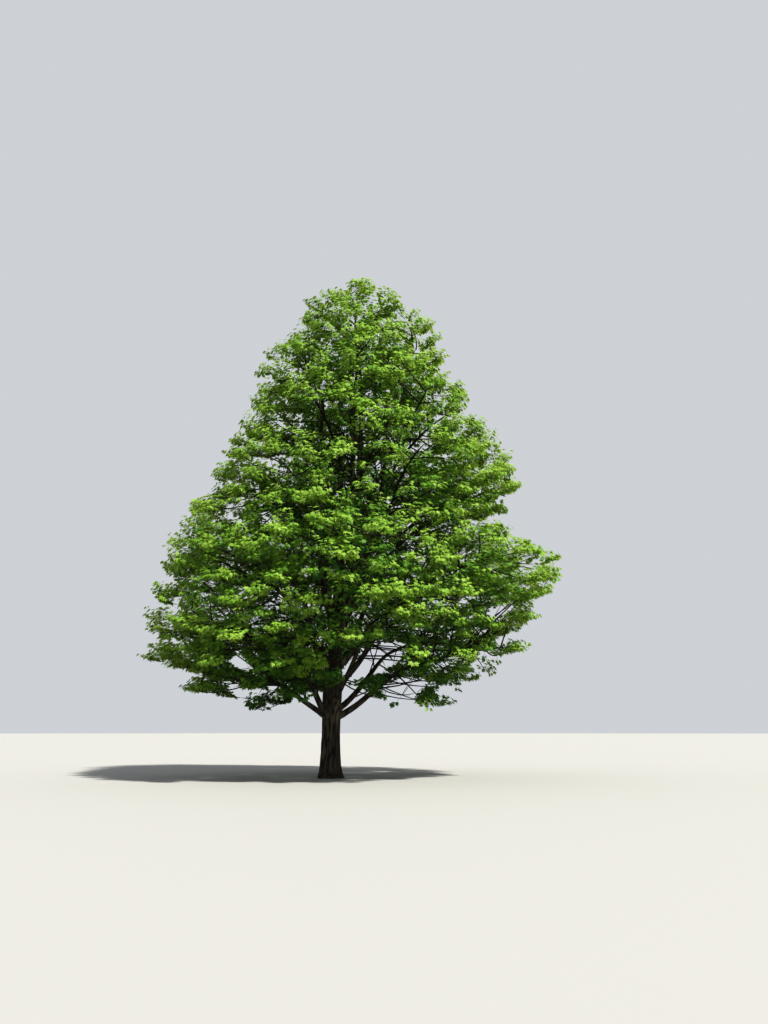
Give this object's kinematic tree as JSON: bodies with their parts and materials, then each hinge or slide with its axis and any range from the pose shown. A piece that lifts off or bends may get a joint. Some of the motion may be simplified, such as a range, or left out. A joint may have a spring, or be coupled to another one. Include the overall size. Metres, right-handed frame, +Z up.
{
  "type": "maple tree",
  "caption": "Open-grown deciduous shade tree in full summer leaf: flared trunk, forked leaders, spreading boughs and a broad rounded crown of separate foliage masses.",
  "frame": {"origin": "middle of the flat cut under the trunk, at ground level", "axes": "+Z up along the trunk, +X to the right and +Y away from a viewer at the front"},
  "size_m": [14.3963, 14.8496, 18.0791],
  "materials": {
    "bark": "dark grey-brown bark, furrowed and matt",
    "foliage": "bright yellow-green summer leaves, satin above and paler below"
  },
  "bodies": {
    "root": {"trunk": "bark", "leader_right": "bark", "leader_back": "bark", "leader_left": "bark", "leader_front": "bark", "leader_centre": "bark", "bough_low_1": "bark", "bough_low_2": "bark", "bough_low_3": "bark", "bough_low_4": "bark", "bough_low_5": "bark", "bough_low_6": "bark", "bough_broad_1": "bark", "bough_broad_2": "bark", "bough_broad_3": "bark", "bough_broad_4": "bark", "bough_broad_5": "bark", "bough_broad_6": "bark", "bough_broad_7": "bark", "bough_middle_1": "bark", "bough_middle_2": "bark", "bough_middle_3": "bark", "bough_middle_4": "bark", "bough_middle_5": "bark", "bough_middle_6": "bark", "bough_upper_1": "bark", "bough_upper_2": "bark", "bough_upper_3": "bark", "bough_upper_4": "bark", "bough_upper_5": "bark", "foliage_low_1": "foliage", "foliage_low_2": "foliage", "foliage_low_3": "foliage", "foliage_low_4": "foliage", "foliage_low_5": "foliage", "foliage_low_6": "foliage", "foliage_broad_1": "foliage", "foliage_broad_2": "foliage", "foliage_broad_3": "foliage", "foliage_broad_4": "foliage", "foliage_broad_5": "foliage", "foliage_broad_6": "foliage", "foliage_broad_7": "foliage", "foliage_middle_1": "foliage", "foliage_middle_2": "foliage", "foliage_middle_3": "foliage", "foliage_middle_4": "foliage", "foliage_middle_5": "foliage", "foliage_middle_6": "foliage", "foliage_upper_1": "foliage", "foliage_upper_2": "foliage", "foliage_upper_3": "foliage", "foliage_upper_4": "foliage", "foliage_upper_5": "foliage", "foliage_top_1": "foliage", "foliage_top_2": "foliage", "foliage_top_3": "foliage", "foliage_top_4": "foliage", "foliage_peak_1": "foliage"}
  },
  "joints": []
}
